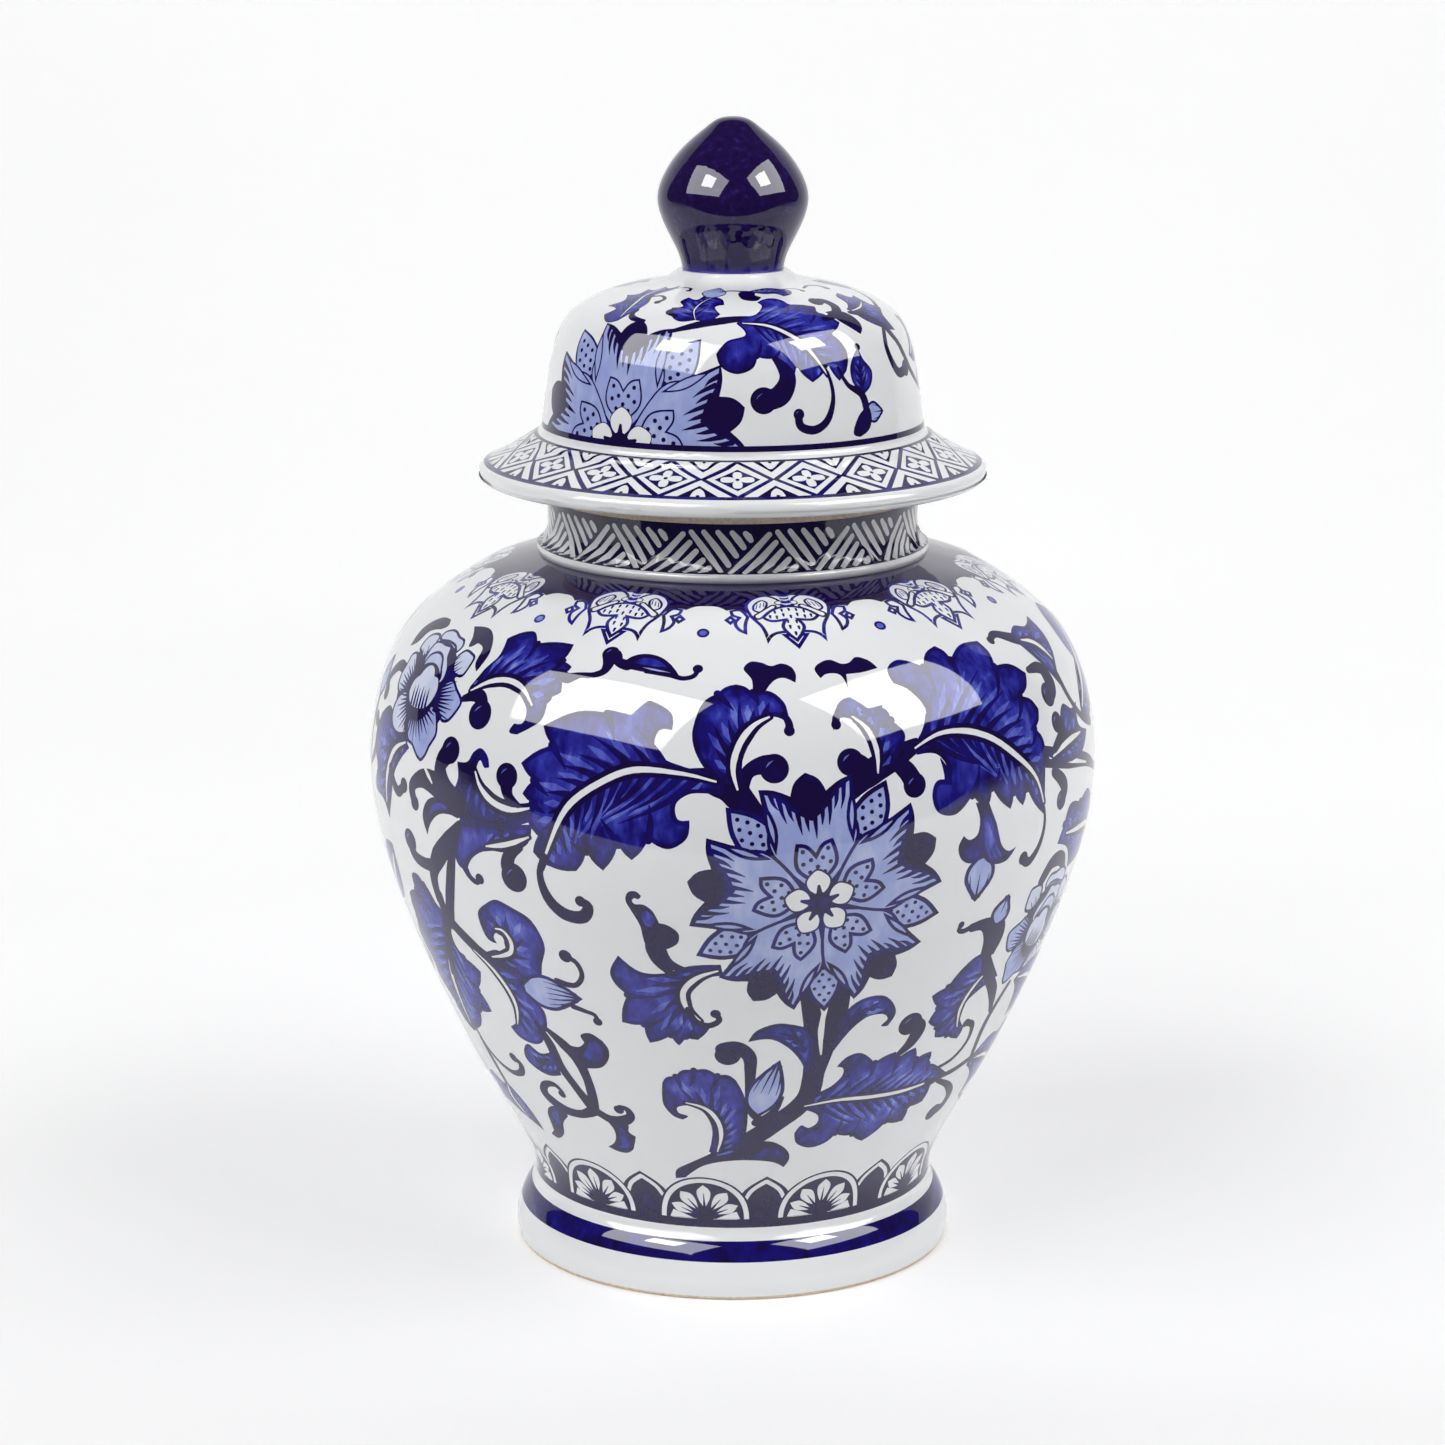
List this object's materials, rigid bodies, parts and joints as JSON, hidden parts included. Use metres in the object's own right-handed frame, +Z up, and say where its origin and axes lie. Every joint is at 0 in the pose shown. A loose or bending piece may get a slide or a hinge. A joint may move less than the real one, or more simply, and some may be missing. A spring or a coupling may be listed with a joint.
{
  "type": "ginger jar",
  "caption": "Lidded blue-and-white porcelain jar with a wide belly, flared foot, upright neck, and a domed lid with a bud-shaped knob.",
  "frame": {"origin": "on the jar's axis, in the plane the foot stands on", "axes": "+Z up along the axis of the jar, -Y towards the side with the main flower"},
  "size_m": [0.228, 0.228, 0.356],
  "materials": {
    "painted_porcelain": "high gloss clear glaze over hand-painted cobalt blue",
    "cobalt_glaze": "high gloss dark cobalt glaze",
    "bare_biscuit": "unglazed fired clay"
  },
  "bodies": {
    "jar": {"jar_body": "painted_porcelain", "foot_ring": "painted_porcelain", "neck_collar": "painted_porcelain"},
    "lid": {"lid_shell": "painted_porcelain", "lid_locating_flange": "bare_biscuit", "lid_finial": "cobalt_glaze"}
  },
  "joints": [
    {"name": "lid_lift", "type": "slide", "parent": "jar", "child": "lid", "axis": [0, 0, 1], "range_m": [0, 0.1]}
  ]
}
